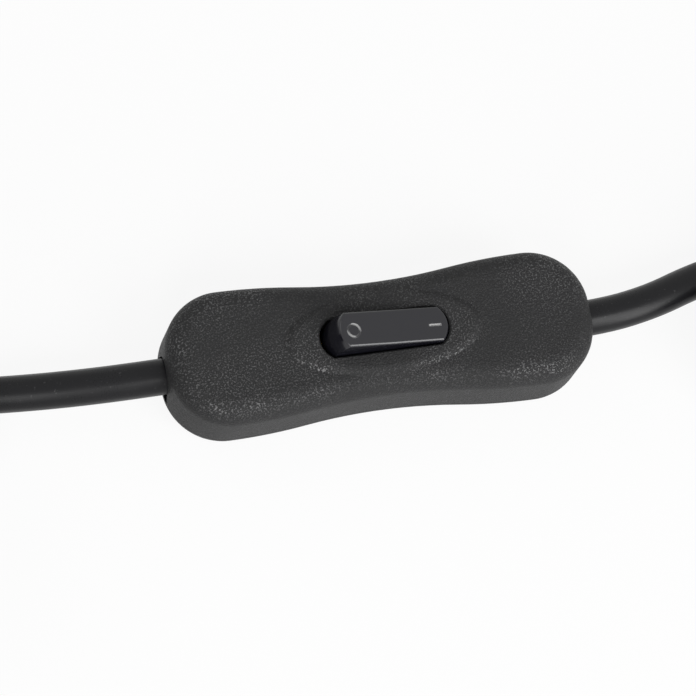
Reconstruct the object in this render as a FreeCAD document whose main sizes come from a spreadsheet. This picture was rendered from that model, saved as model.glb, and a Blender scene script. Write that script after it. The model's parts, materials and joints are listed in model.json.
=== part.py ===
import FreeCAD, Part
import math
import os
import Sketcher

# An inline rocker switch on a round two-core mains cord. Millimetres, +X towards the lamp,
# +Z up, origin on the underside at the middle of the housing.

Vector = FreeCAD.Vector
Rotation = FreeCAD.Rotation

SIZES = {
    # housing
    "housing_length": 71.0, "bulge_width": 22.6, "waist_width": 19.2, "housing_height": 15.3,
    "end_radius": 9.8, "parting_height": 4.2, "wall": 1.8, "top_wall": 1.8, "base_wall": 1.6,
    "shoulder_radius": 3.6, "sole_radius": 4.0,
    "oval_length": 34.0, "oval_width": 14.8, "oval_rise": 0.6, "oval_depth": 0.8, "oval_flare": 1.5,
    "oval_edge": 1.5,
    "window_length": 21.7, "window_width": 6.5, "window_bow": 1.9, "window_edge": 0.25,
    "collar_wall": 1.8, "collar_height": 3.2, "fit_gap": 0.1,
    # rocker
    "rocker_side_gap": 0.3, "rocker_end_gap": 0.45, "rocker_bow": 1.25, "rocker_rise": 2.3,
    "rocker_dish": 0.8, "rocker_tilt": 11.5, "rocker_wing": 0.8, "rocker_edge": 0.5,
    "sweep_lift": 1.5, "pivot_depth": 3.3,
    "pivot_radius": 1.2, "pivot_play": 0.05, "stub_play": 0.15,
    "post_length": 3.9, "post_half_width": 2.2,
    "mark_place": 7.2, "mark_side": 0.25, "bar_length": 2.1, "ring_radius": 1.22, "mark_depth": 0.12,
    "mark_line": 0.34,
    # plunger and seesaw contact
    "plunger_radius": 1.2, "plunger_play": 0.05, "plunger_length": 4.8, "nose_radius": 1.0,
    "nose_gap": 0.05, "spring_space": 3.8, "spring_wire": 0.3, "spring_turns": 6.0, "spring_play": 0.1,
    "fulcrum_height": 4.6, "fulcrum_radius": 0.6, "fulcrum_play": 0.03, "bridge_tilt": 8.0,
    "bridge_thickness": 0.7, "bridge_width": 3.0, "bridge_reach": 9.0, "bridge_tail": 8.0,
    "strip_thickness": 0.8, "strip_width": 3.0, "strip_height": 2.1, "strip_end": 5.0,
    "contact_reach": 7.2, "contact_radius": 1.4, "contact_head": 0.5, "contact_dome": 3.0,
    "contact_gap": 0.03, "rivet_head": 0.3, "rivet_radius": 0.7,
    # terminals
    "block_length": 6.0, "block_width": 3.8, "block_height": 6.0, "block_inset": 23.3,
    "block_gap": 0.8, "wire_bore": 0.9, "wire_height": 5.4, "terminal_screw_radius": 1.3,
    "terminal_head_radius": 1.8, "terminal_head_height": 1.1, "slot_width": 0.5, "slot_depth": 0.5,
    "link_width": 2.4, "ledge_margin": 1.0,
    # cord and its grip inside the housing
    "cord_diameter": 6.0, "cord_height": 7.2, "jacket_inset": 9.3, "core_radius": 1.15,
    "core_spread": 1.3, "strand_radius": 0.6, "core_gap": 0.7, "notch_play": 0.12, "notch_flare": 0.9,
    "clamp_inset": 7.1, "clamp_length": 3.6, "clamp_width": 14.6, "clamp_thickness": 1.6,
    "clamp_screw_offset": 5.3, "clamp_screw_radius": 1.0, "clamp_head_radius": 1.7,
    "clamp_head_height": 1.0, "clamp_post_radius": 1.9, "clamp_play": 0.05, "clamp_reserve": 0.4,
    "clamp_screw_length": 5.0, "saddle_depth": 1.5,
    # housing screws
    "case_screw_inset": 13.1, "case_screw_y": 7.0, "case_screw_radius": 1.15, "case_head_radius": 1.8,
    "case_head_height": 1.2, "case_head_sink": 0.5, "case_boss_radius": 2.2, "case_screw_length": 9.0,
    # hanks and ties
    "fold_radius": 18.0, "plug_hank_length": 110.0, "plug_hank_waist": 12.0, "plug_hank_end": 67.0,
    "plug_hank_y": 15.0, "plug_hank_layers": 4.0,
    "lamp_hank_length": 84.0, "lamp_hank_waist": 17.0, "lamp_hank_end": 58.0, "lamp_hank_y": 11.0,
    "lamp_hank_layers": 2.0, "tie_width": 9.0, "tie_thickness": 1.1, "tie_play": 0.4,
    # plug
    "plug_width": 35.3, "plug_thickness": 13.7, "plug_shoulder": 17.0, "plug_length": 34.0,
    "plug_neck_width": 15.0, "plug_round": 3.0, "plug_y": 7.0, "plug_face": 176.0,
    "relief_length": 20.0, "relief_radius": 4.2, "relief_pitch": 4.0, "relief_groove": 0.7,
    "pin_radius": 2.0, "pin_length": 19.0, "pin_spacing": 18.6, "pin_tip": 0.8, "pin_core": 1.4,
    "pin_root": 8.0, "pin_root_radius": 2.4, "sleeve_length": 10.0, "sleeve_radius": 1.75,
    # prepared end at the lamp
    "lamp_jacket_end": 115.0, "bare_core_length": 24.0, "ferrule_length": 8.0, "ferrule_radius": 0.75,
    "ferrule_collar": 1.45, "ferrule_collar_length": 2.5, "ferrule_rest": 0.05,
}


class Size:
    """A length kept both as a number and as the expression that binds it to the sheet."""

    def __init__(self, value, text):
        self.value = float(value)
        self.text = text

    def __float__(self):
        return self.value

    def __neg__(self):
        return Size(-self.value, f"(0 - {self.text})")

    def __add__(self, other):
        other = as_size(other)
        return Size(self.value + other.value, f"({self.text} + {other.text})")

    def __sub__(self, other):
        other = as_size(other)
        return Size(self.value - other.value, f"({self.text} - {other.text})")

    def __mul__(self, other):
        other = as_size(other)
        return Size(self.value * other.value, f"({self.text} * {other.text})")

    def __truediv__(self, other):
        other = as_size(other)
        return Size(self.value / other.value, f"({self.text} / {other.text})")

    def __radd__(self, other):
        return as_size(other) + self

    def __rsub__(self, other):
        return as_size(other) - self

    def __rmul__(self, other):
        return as_size(other) * self


def as_size(number):
    if isinstance(number, Size):
        return number
    return Size(number, repr(float(number)))


def root(size):
    return Size(math.sqrt(size.value), f"sqrt({size.text})")


def tangent(degrees):
    return Size(math.tan(math.radians(degrees.value)), f"tan({degrees.text} * 1 deg)")


def sine(degrees):
    return Size(math.sin(math.radians(degrees.value)), f"sin({degrees.text} * 1 deg)")


def cosine(degrees):
    return Size(math.cos(math.radians(degrees.value)), f"cos({degrees.text} * 1 deg)")


class Sizes:
    """The driving dimensions by name, each tied to its cell."""

    def __getattr__(self, name):
        return Size(SIZES[name], f"Sizes.{name}")


doc = FreeCAD.newDocument("inline_cord_switch")
sheet = doc.addObject("Spreadsheet::Sheet", "Sizes")
for row, (alias, number) in enumerate(SIZES.items(), start=1):
    sheet.set(f"A{row}", str(number))
    sheet.setAlias(f"A{row}", alias)
doc.recompute()
s = Sizes()


def bind(item, prop, size):
    size = as_size(size)
    item.setExpression(prop, size.text)


def place(item, x=0, y=0, z=0, axis=None, angle=0):
    """Places an item and ties its place to the sheet."""
    turn = Rotation(axis, float(as_size(angle))) if axis else Rotation()
    spot = Vector(*[float(as_size(v)) for v in (x, y, z)])
    item.Placement = FreeCAD.Placement(spot, turn)
    for letter, size in zip("xyz", (x, y, z)):
        bind(item, f"Placement.Base.{letter}", size)
    if isinstance(angle, Size):
        bind(item, "Placement.Rotation.Angle", angle)
    return item


def box(name, low, high):
    item = doc.addObject("Part::Box", name)
    for prop, a, b in zip(("Length", "Width", "Height"), low, high):
        bind(item, prop, as_size(b) - a)
    return place(item, *low)


TURNS = {"x": (Vector(0, 1, 0), 90), "y": (Vector(1, 0, 0), -90), "z": (Vector(0, 0, 1), 0)}


def rod(name, radius, start, length, along="z"):
    """A cylinder from start, along +X, +Y or +Z."""
    item = doc.addObject("Part::Cylinder", name)
    bind(item, "Radius", radius)
    bind(item, "Height", length)
    return place(item, *start, *TURNS[along])


def cone(name, radius, far_radius, start, length, along="z"):
    item = doc.addObject("Part::Cone", name)
    bind(item, "Radius1", radius)
    bind(item, "Radius2", far_radius)
    bind(item, "Height", length)
    return place(item, *start, *TURNS[along])


def fuse(name, *items):
    item = doc.addObject("Part::MultiFuse", name)
    item.Shapes = list(items)
    return item


def cut(name, base, *tools):
    item = doc.addObject("Part::Cut", name)
    item.Base = base
    item.Tool = tools[0] if len(tools) == 1 else fuse(name + "_tools", *tools)
    return item


def common(name, *items):
    item = doc.addObject("Part::MultiCommon", name)
    item.Shapes = list(items)
    return item


def group(name, *items):
    """Separate solids that share a node."""
    item = doc.addObject("Part::Compound", name)
    item.Links = list(items)
    return item


def plane(body, role):
    return next(f for f in body.Origin.OriginFeatures if f.Role == role)


def sketch(body, name, role="XY_Plane", offset=0):
    item = body.newObject("Sketcher::SketchObject", name)
    item.AttachmentSupport = (plane(body, role), [""])
    item.MapMode = "FlatFace"
    bind(item, "AttachmentOffset.Base.z", offset)
    return item


def pin_point(item, edge, end, point):
    """Holds an end of an edge at a point."""
    for kind, size in zip(("DistanceX", "DistanceY"), point):
        size = as_size(size)
        number = item.addConstraint(Sketcher.Constraint(kind, -1, 1, edge, end, size.value))
        bind(item, f"Constraints[{number}]", size)


def flat(point):
    return Vector(float(as_size(point[0])), float(as_size(point[1])), 0)


def loop(item, corners):
    """A closed outline. Each corner is (x, y), or (x, y, radius, side) where the edge that leaves
    it is an arc that bulges to the given side: 1 to the right of its way, -1 to the left."""
    starts = []
    for i, corner in enumerate(corners):
        a, b = flat(corner), flat(corners[(i + 1) % len(corners)])
        edge = Part.LineSegment(a, b)
        if len(corner) > 2:
            half = (b - a) * 0.5
            right = Vector(half.y, -half.x, 0).normalize() * corner[3]
            radius = float(corner[2])
            rise = radius - math.sqrt(max(radius**2 - half.Length**2, 0))
            ends = (a, b) if corner[3] > 0 else (b, a)
            edge = Part.Arc(ends[0], a + half + right * rise, ends[1])
        item.addGeometry(edge, False)
        starts.append(2 if len(corner) > 2 and corner[3] < 0 else 1)
    for i, corner in enumerate(corners):
        after = (i + 1) % len(corners)
        item.addConstraint(Sketcher.Constraint("Coincident", i, 3 - starts[i], after, starts[after]))
    for i, corner in enumerate(corners):
        pin_point(item, i, starts[i], corner)
        if len(corner) > 2:
            span = flat(corners[(i + 1) % len(corners)]) - flat(corner)
            if abs(span.Length / 2 - float(corner[2])) < 1e-6:
                kind, size = ("DistanceY", corner[1]) if abs(span.y) < 1e-6 else ("DistanceX", corner[0])
                held = Sketcher.Constraint(kind, -1, 1, i, 3, float(size))
            else:
                size = corner[2]
                held = Sketcher.Constraint("Radius", i, float(size))
            number = item.addConstraint(held)
            bind(item, f"Constraints[{number}]", size)
    return item


def ring(item, radius, x=0, y=0):
    edge = item.addGeometry(Part.Circle(flat((x, y)), Vector(0, 0, 1), float(as_size(radius))), False)
    number = item.addConstraint(Sketcher.Constraint("Radius", edge, float(as_size(radius))))
    bind(item, f"Constraints[{number}]", radius)
    pin_point(item, edge, 3, (x, y))
    return item


def oval(item, half_length, half_width):
    """An ellipse about the sketch's origin, held by the ends of its two axes."""
    a, b = float(as_size(half_length)), float(as_size(half_width))
    edge = item.addGeometry(Part.Ellipse(Vector(a, 0, 0), Vector(0, b, 0), Vector(0, 0, 0)), False)
    item.exposeInternalGeometry(edge)
    pin_point(item, edge, 3, (0, 0))
    pin_point(item, edge + 1, 1 if item.Geometry[edge + 1].StartPoint.x > 0 else 2, (half_length, 0))
    minor = item.Geometry[edge + 2]
    end = 1 if minor.StartPoint.y > 0 else 2
    number = item.addConstraint(Sketcher.Constraint("DistanceY", -1, 1, edge + 2, end, b))
    bind(item, f"Constraints[{number}]", half_width)
    return item


def settle(item):
    """Works an item out and stops where it has failed."""
    doc.recompute()
    if "Invalid" in item.State or "Error" in item.State or item.Shape.isNull():
        raise ValueError(f"{item.Name} failed: {item.State}")
    return item


def pad(body, name, profile, length, reverse=False, both=False, kind="PartDesign::Pad"):
    item = body.newObject(kind, name)
    item.Profile = profile
    bind(item, "Length", length)
    item.Reversed = reverse
    item.Midplane = both
    return settle(item)


def pocket(body, name, profile, length, reverse=False, both=False):
    before = body.Shape.Volume
    item = pad(body, name, profile, length, reverse, both, "PartDesign::Pocket")
    if item.Shape.Volume >= before:
        raise ValueError(f"{name} cuts nothing")
    return item


def soften(body, name, base, radius, pick):
    """Rounds the edges that pick chooses."""
    item = body.newObject("PartDesign::Fillet", name)
    edges = [f"Edge{i + 1}" for i, edge in enumerate(base.Shape.Edges) if pick(edge)]
    item.Base = (base, edges)
    bind(item, "Radius", radius)
    return settle(item)


def level(edge, height, within=0.02):
    """Whether an edge lies flat at a height."""
    limits = edge.BoundBox
    return abs(limits.ZMin - float(height)) < within and abs(limits.ZMax - float(height)) < within


# Heights and places that several pieces share.
half_length = s.housing_length / 2
jacket_end = half_length - s.jacket_inset
clamp_centre = half_length - s.clamp_inset
case_screw_x = half_length - s.case_screw_inset
block_start = half_length - s.block_inset
block_middle = block_start + s.block_length / 2
block_offset = s.strip_width / 2 + s.block_gap + s.block_width / 2
core_stop = block_start + s.block_length + s.core_gap
rim_height = s.housing_height + s.oval_rise
pivot_height = rim_height - s.pivot_depth
ceiling = s.housing_height - s.top_wall
bearing_half = s.window_width / 2 + s.collar_wall
cord_radius = s.cord_diameter / 2
notch_radius = cord_radius + s.notch_play
rocker_reach = s.window_length / 2 - s.rocker_end_gap
rocker_half = s.window_width / 2 - s.rocker_side_gap
bridge_lift = s.fulcrum_radius + s.fulcrum_play
nose_centre = (pivot_height - s.fulcrum_height - bridge_lift - s.bridge_thickness
               - s.nose_radius - s.nose_gap)
strip_top = s.strip_height + s.strip_thickness
block_top = s.strip_height + s.block_height
strand_height = s.wire_height - s.wire_bore + s.strand_radius
clamp_base = s.cord_height + cord_radius + s.clamp_play
hank_half = s.fold_radius + cord_radius
plug_hank_top = s.tie_thickness + s.plug_hank_layers * s.cord_diameter
lamp_hank_top = s.tie_thickness + s.lamp_hank_layers * s.cord_diameter
plug_height = plug_hank_top + s.plug_thickness / 2


def waisted_outline(item, half_length, bulge, waist, corner):
    """A plan with rounded corners, full bulges and a drawn-in waist."""
    peak = half_length - corner
    sweep = (peak * peak + (bulge - waist) * (bulge - waist)) / (4 * (bulge - waist))
    middle = (bulge + waist) / 2
    return loop(item, [
        (half_length, corner - bulge), (half_length, bulge - corner, corner, 1),
        (peak, bulge, sweep, 1), (peak / 2, middle, sweep, -1),
        (-peak / 2, middle, sweep, 1), (-peak, bulge, corner, 1),
        (-half_length, bulge - corner), (-half_length, corner - bulge, corner, 1),
        (-peak, -bulge, sweep, 1), (-peak / 2, -middle, sweep, -1),
        (peak / 2, -middle, sweep, 1), (peak, -bulge, corner, 1),
    ])


def housing_outline(item, inset):
    return waisted_outline(item, half_length - inset, s.bulge_width / 2 - inset,
                           s.waist_width / 2 - inset, s.end_radius - inset)


def window_outline(item, half_length, half_width, bow):
    """A rectangle whose ends bow outwards."""
    radius = (half_width * half_width + bow * bow) / (2 * bow)
    corner = half_length - bow
    return loop(item, [
        (corner, -half_width, radius, 1), (corner, half_width),
        (-corner, half_width, radius, 1), (-corner, -half_width),
    ])


def rectangle(item, x_low, x_high, y_low, y_high):
    return loop(item, [(x_low, y_low), (x_high, y_low), (x_high, y_high), (x_low, y_high)])


def sides():
    """The plug side and the lamp side, each with the direction it lies in."""
    return (("plug", -1), ("lamp", 1))


def make_upper_shell():
    body = doc.addObject("PartDesign::Body", "upper_shell")
    outline = housing_outline(sketch(body, "cover_outline", offset=s.parting_height), 0)
    wall = pad(body, "cover_block", outline, s.housing_height - s.parting_height)
    soften(body, "shoulder", wall, s.shoulder_radius, lambda e: level(e, s.housing_height))
    foot = sketch(body, "oval_foot", offset=rim_height - s.oval_depth)
    oval(foot, s.oval_length / 2, s.oval_width / 2)
    head = sketch(body, "oval_head", offset=rim_height)
    oval(head, s.oval_length / 2 - s.oval_flare, s.oval_width / 2 - s.oval_flare)
    boss = body.newObject("PartDesign::AdditiveLoft", "oval_boss")
    boss.Profile = foot
    boss.Sections = [head]
    settle(boss)
    soften(body, "oval_edge_round", boss, s.oval_edge, lambda e: level(e, rim_height))
    hollow = housing_outline(sketch(body, "hollow_outline", offset=s.parting_height), s.wall)
    pocket(body, "hollow", hollow, ceiling - s.parting_height, reverse=True)
    collar = sketch(body, "collar_outline", offset=ceiling - s.collar_height)
    outer = s.window_length / 2 + s.collar_wall
    rectangle(collar, -outer, outer, -bearing_half, bearing_half)
    pad(body, "collar", collar, s.collar_height + s.top_wall / 2)
    window = sketch(body, "window_outline", offset=ceiling - s.collar_height - s.fit_gap)
    window_outline(window, s.window_length / 2, s.window_width / 2, s.window_bow)
    depth = rim_height - ceiling + s.collar_height + 2 * s.fit_gap
    pocket(body, "window", window, depth, reverse=True)
    low = sketch(body, "window_mouth_low", offset=rim_height - 2 * s.window_edge)
    window_outline(low, s.window_length / 2 - s.window_edge, s.window_width / 2 - s.window_edge,
                   s.window_bow)
    high = sketch(body, "window_mouth_high", offset=rim_height + s.window_edge)
    window_outline(high, s.window_length / 2 + 2 * s.window_edge,
                   s.window_width / 2 + 2 * s.window_edge, s.window_bow)
    mouth = body.newObject("PartDesign::SubtractiveLoft", "window_mouth")
    mouth.Profile = low
    mouth.Sections = [high]
    mouth.Ruled = True
    settle(mouth)
    bearing = sketch(body, "bearing_outline", "XZ_Plane")
    ring(bearing, s.pivot_radius + s.pivot_play, 0, pivot_height)
    pocket(body, "bearing", bearing, 2 * bearing_half + 2 * s.fit_gap, both=True)
    for name, side in sides():
        stem = sketch(body, f"{name}_boss_outline", offset=s.parting_height + s.fit_gap)
        ring(stem, s.case_boss_radius, side * case_screw_x, -side * s.case_screw_y)
        pad(body, f"{name}_boss", stem, ceiling - s.parting_height)
        hole = sketch(body, f"{name}_boss_hole_outline", offset=s.parting_height)
        ring(hole, s.case_screw_radius, side * case_screw_x, -side * s.case_screw_y)
        pocket(body, f"{name}_boss_hole", hole, s.case_screw_length, reverse=True)
    notch = sketch(body, "cord_notch_outline", "YZ_Plane")
    foot = notch_radius + s.notch_flare
    floor = s.parting_height - s.fit_gap
    loop(notch, [(-foot, floor), (foot, floor), (notch_radius, s.cord_height, notch_radius, 1),
                 (-notch_radius, s.cord_height)])
    pocket(body, "cord_notches", notch, s.housing_length + 2, both=True)
    return body


def make_lower_shell():
    body = doc.addObject("PartDesign::Body", "lower_shell")
    outline = housing_outline(sketch(body, "base_outline"), 0)
    block = pad(body, "base_block", outline, s.parting_height)
    soften(body, "sole_round", block, s.sole_radius, lambda e: level(e, 0))
    tray = housing_outline(sketch(body, "tray_outline", offset=s.base_wall), s.wall)
    pocket(body, "tray", tray, s.parting_height, reverse=True)
    root_height = s.base_wall / 2
    for name, side in sides():
        post_top = clamp_base - s.clamp_reserve
        saddle = sketch(body, f"{name}_saddle_outline", offset=root_height)
        x_low = side * clamp_centre - s.clamp_length / 2
        rectangle(saddle, x_low, x_low + s.clamp_length, -s.clamp_screw_offset, s.clamp_screw_offset)
        saddle_top = s.cord_height - cord_radius + s.saddle_depth
        pad(body, f"{name}_saddle", saddle, saddle_top - root_height)
        for row, label in ((-1, "near"), (1, "far")):
            post = sketch(body, f"{name}_{label}_post_outline", offset=root_height)
            ring(post, s.clamp_post_radius, side * clamp_centre, row * s.clamp_screw_offset)
            pad(body, f"{name}_{label}_post", post, post_top - root_height)
        case_post = sketch(body, f"{name}_case_post_outline", offset=root_height)
        ring(case_post, s.case_boss_radius, side * case_screw_x, -side * s.case_screw_y)
        pad(body, f"{name}_case_post", case_post, s.parting_height - root_height)
        for row, label in ((-1, "near"), (1, "far")):
            ledge = sketch(body, f"{name}_{label}_ledge_outline", offset=root_height)
            half_x = s.block_length / 2 - s.ledge_margin
            half_y = s.block_width / 2 - s.ledge_margin
            rectangle(ledge, side * block_middle - half_x, side * block_middle + half_x,
                      row * block_offset - half_y, row * block_offset + half_y)
            pad(body, f"{name}_{label}_ledge", ledge, s.strip_height - root_height)
    for name, low, high in (("fixed_contact", -s.contact_reach - s.contact_radius, -s.strip_end),
                            ("fulcrum", -s.fulcrum_radius, s.fulcrum_radius)):
        rest = sketch(body, f"{name}_rest_outline", offset=root_height)
        rectangle(rest, low, high, -s.strip_width / 2, s.strip_width / 2)
        pad(body, f"{name}_rest", rest, s.strip_height - root_height)
    seat = sketch(body, "cord_seat_outline", "YZ_Plane")
    ring(seat, cord_radius + s.clamp_play, 0, s.cord_height)
    pocket(body, "cord_seats", seat, s.housing_length + 2, both=True)
    for name, side in sides():
        for row, label in ((-1, "near"), (1, "far")):
            hole = sketch(body, f"{name}_{label}_hole_outline", offset=clamp_base)
            ring(hole, s.clamp_screw_radius, side * clamp_centre, row * s.clamp_screw_offset)
            depth = s.clamp_screw_length - s.clamp_thickness + s.fit_gap
            pocket(body, f"{name}_{label}_hole", hole, depth)
        hole = sketch(body, f"{name}_case_hole_outline", offset=-s.fit_gap)
        ring(hole, s.case_screw_radius + s.fit_gap, side * case_screw_x, -side * s.case_screw_y)
        pocket(body, f"{name}_case_hole", hole, s.parting_height + 2 * s.fit_gap, reverse=True)
        sink = sketch(body, f"{name}_case_sink_outline", offset=-s.fit_gap)
        ring(sink, s.case_head_radius + s.fit_gap, side * case_screw_x, -side * s.case_screw_y)
        depth = s.fit_gap + s.case_head_sink + s.case_head_height
        pocket(body, f"{name}_case_sink", sink, depth, reverse=True)
    return body


def tip_over(item):
    """Tilts a piece modelled level about the rocker's pivot into the switched-on place."""
    return place(item, 0, 0, pivot_height, Vector(0, 1, 0), s.rocker_tilt)


def make_rocker():
    """Modelled level about its own pivot. Its ends are swept about a line a little above the
    pivot, so they clear the window as it rocks and the face stays long."""
    body = doc.addObject("PartDesign::Body", "rocker")
    corner = rocker_reach - s.rocker_bow
    radius = (rocker_half * rocker_half + s.rocker_bow * s.rocker_bow) / (2 * s.rocker_bow)
    barrel = sketch(body, "rocker_sweep", offset=s.sweep_lift)
    loop(barrel, [(0, -rocker_half), (corner, -rocker_half, radius, 1), (corner, rocker_half),
                  (0, rocker_half)])
    turned = body.newObject("PartDesign::Revolution", "rocker_barrel")
    turned.Profile = barrel
    turned.ReferenceAxis = (barrel, ["V_Axis"])
    turned.Angle = 360
    settle(turned)
    top = s.pivot_depth + s.rocker_rise
    bottom = -s.rocker_wing
    dip = rocker_reach * tangent(s.rocker_dish)
    far = rocker_reach + 2
    side = sketch(body, "rocker_side", "XZ_Plane")
    half_post = s.post_half_width
    loop(side, [
        (far, bottom), (far, top + dip * far / rocker_reach), (0, top),
        (-far, top + dip * far / rocker_reach), (-far, bottom), (-half_post, bottom),
        (-half_post, -s.post_length), (half_post, -s.post_length), (half_post, bottom),
    ])
    edge = 2 * far
    rectangle_around(side, edge)
    shaped = pocket(body, "rocker_profile", side, 2 * rocker_half + 2, both=True)
    soften(body, "rocker_round", shaped, s.rocker_edge, lambda e: on_top(e, top.value))
    stub = sketch(body, "stub_outline", "XZ_Plane")
    ring(stub, s.pivot_radius)
    pad(body, "pivot_stubs", stub, 2 * (bearing_half - s.stub_play), both=True)
    bore = sketch(body, "bore_outline", offset=-s.post_length - s.fit_gap)
    ring(bore, s.plunger_radius + s.plunger_play)
    bore_top = s.plunger_length + s.spring_space - nose_centre - s.nose_radius
    pocket(body, "plunger_bore", bore, bore_top + s.post_length + s.fit_gap, reverse=True)
    mark_level = top + s.mark_place * tangent(s.rocker_dish) - s.mark_depth
    bar = sketch(body, "bar_outline", offset=mark_level)
    rectangle(bar, s.mark_place - s.bar_length / 2, s.mark_place + s.bar_length / 2,
              -s.mark_side - s.mark_line / 2, s.mark_line / 2 - s.mark_side)
    pocket(body, "bar_mark", bar, 4 * s.mark_depth, reverse=True)
    circle = sketch(body, "ring_outline", offset=mark_level)
    ring(circle, s.ring_radius, -s.mark_place, -s.mark_side)
    ring(circle, s.ring_radius - s.mark_line, -s.mark_place, -s.mark_side)
    pocket(body, "ring_mark", circle, 4 * s.mark_depth, reverse=True)
    return tip_over(body)


def rectangle_around(item, half):
    """A frame added to a sketch that already has an outline, so the outline's inside is kept."""
    first = item.GeometryCount
    corners = [(-half, -half), (half, -half), (half, half), (-half, half)]
    for i, corner in enumerate(corners):
        item.addGeometry(Part.LineSegment(flat(corner), flat(corners[(i + 1) % 4])), False)
    for i in range(4):
        item.addConstraint(Sketcher.Constraint("Coincident", first + i, 2, first + (i + 1) % 4, 1))
        pin_point(item, first + i, 1, corners[i])
    return item


def on_top(edge, height):
    """An edge round the rocker's upper face, not the crease across it."""
    limits = edge.BoundBox
    return limits.ZMin > height - 0.01 and limits.XLength + limits.ZLength > 0.05 \
        or limits.ZMin > height + 0.02


def make_plunger():
    tip = -nose_centre
    shaft = rod("plunger_shaft", s.plunger_radius, (0, 0, tip), s.plunger_length - s.nose_radius)
    nose = doc.addObject("Part::Sphere", "plunger_nose")
    bind(nose, "Radius", s.nose_radius)
    place(nose, 0, 0, tip)
    return tip_over(fuse("plunger", shaft, nose))


def make_spring():
    """Stands on the plunger's head and ends under the roof of the bore."""
    start = s.plunger_length - s.nose_radius - nose_centre
    coil_radius = s.plunger_radius + s.plunger_play - s.spring_wire / 2 - s.spring_play
    height = s.spring_space - s.spring_wire - 2 * s.spring_play
    helix = doc.addObject("Part::Helix", "spring_line")
    bind(helix, "Radius", coil_radius)
    bind(helix, "Height", height)
    bind(helix, "Pitch", height / s.spring_turns)
    place(helix, 0, 0, start + s.spring_wire / 2 + s.spring_play)
    wire = doc.addObject("Part::Circle", "spring_section")
    bind(wire, "Radius", s.spring_wire / 2)
    place(wire, coil_radius, 0, start + s.spring_wire / 2 + s.spring_play, *TURNS["y"])
    doc.recompute()
    item = doc.addObject("Part::Sweep", "plunger_spring")
    item.Sections = [wire]
    item.Spine = (helix, [f"Edge{i + 1}" for i in range(len(helix.Shape.Edges))])
    item.Solid = True
    item.Frenet = True
    return tip_over(item)


def seesaw(item):
    """Tilts a piece modelled level about the fulcrum into the switched-on place."""
    return place(item, 0, 0, s.fulcrum_height, Vector(0, -1, 0), s.bridge_tilt)


def make_bridge():
    half = s.bridge_width / 2
    blade = box("bridge_blade", (-s.bridge_reach, -half, bridge_lift),
                (s.bridge_tail, half, bridge_lift + s.bridge_thickness))
    hole = rod("bridge_hole", s.rivet_radius, (-s.contact_reach, 0, bridge_lift - s.fit_gap),
               s.bridge_thickness + 2 * s.fit_gap)
    return seesaw(cut("contact_bridge", blade, hole))


def make_moving_contact():
    """A rivet with a domed face below the blade and a small head above."""
    crown = doc.addObject("Part::Sphere", "contact_crown")
    bind(crown, "Radius", s.contact_dome)
    place(crown, -s.contact_reach, 0, bridge_lift - s.contact_head + s.contact_dome)
    disc = rod("contact_disc", s.contact_radius, (-s.contact_reach, 0, bridge_lift - s.contact_head),
               s.contact_head)
    face = common("contact_face", crown, disc)
    shank = rod("contact_shank", s.rivet_radius, (-s.contact_reach, 0, bridge_lift), s.bridge_thickness)
    head = rod("contact_rivet_head", s.contact_radius,
               (-s.contact_reach, 0, bridge_lift + s.bridge_thickness), s.rivet_head)
    return seesaw(fuse("moving_contact", face, shank, head))


def make_fixed_contact():
    dome_height = bridge_lift - s.contact_head + s.contact_dome
    top = (s.fulcrum_height - s.contact_reach * sine(s.bridge_tilt) + dome_height * cosine(s.bridge_tilt)
           - s.contact_dome - s.contact_gap)
    place_x = -s.contact_reach
    head = rod("fixed_contact_head", s.contact_radius, (place_x, 0, strip_top), top - strip_top)
    shank = rod("fixed_contact_shank", s.rivet_radius, (place_x, 0, s.strip_height), s.strip_thickness)
    return fuse("fixed_contact", head, shank)


def terminal_block(name, side, row):
    """A block with a bore for the wire along X and a threaded hole for its screw from above."""
    middle = side * block_middle
    low = middle - s.block_length / 2
    y_mid = row * block_offset
    block = box(f"{name}_block", (low, y_mid - s.block_width / 2, s.strip_height),
                (low + s.block_length, y_mid + s.block_width / 2, block_top))
    bore = rod(f"{name}_bore", s.wire_bore, (low - s.fit_gap, y_mid, s.wire_height),
               s.block_length + 2 * s.fit_gap, "x")
    thread = rod(f"{name}_thread", s.terminal_screw_radius, (middle, y_mid, s.wire_height),
                 block_top - s.wire_height + s.fit_gap)
    return block, bore, thread


def make_live_in():
    block, bore, thread = terminal_block("live_in", -1, -1)
    strip = box("live_in_strip", (-block_middle, -block_offset, s.strip_height),
                (-s.strip_end, s.strip_width / 2, strip_top))
    hole = rod("live_in_rivet_hole", s.rivet_radius, (-s.contact_reach, 0, s.strip_height - s.fit_gap),
               s.strip_thickness + 2 * s.fit_gap)
    return cut("live_in_terminal", fuse("live_in_brass", block, strip), bore, thread, hole)


def make_live_out():
    block, bore, thread = terminal_block("live_out", 1, -1)
    half = s.strip_width / 2
    strip = box("live_out_strip", (-s.fulcrum_radius, -block_offset, s.strip_height),
                (block_middle, half, strip_top))
    post = box("fulcrum_post", (-s.fulcrum_radius, -half, strip_top),
               (s.fulcrum_radius, half, s.fulcrum_height))
    rib = rod("fulcrum_rib", s.fulcrum_radius, (0, -half, s.fulcrum_height), s.strip_width, "y")
    return cut("live_out_terminal", fuse("live_out_brass", block, strip, post, rib), bore, thread)


def make_neutral():
    left, left_bore, left_thread = terminal_block("neutral_in", -1, 1)
    right, right_bore, right_thread = terminal_block("neutral_out", 1, 1)
    link = box("neutral_link", (-block_middle, block_offset - s.link_width / 2, s.strip_height),
               (block_middle, block_offset + s.link_width / 2, strip_top))
    brass = fuse("neutral_brass", left, right, link)
    return cut("neutral_terminal", brass, left_bore, left_thread, right_bore, right_thread)


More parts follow.
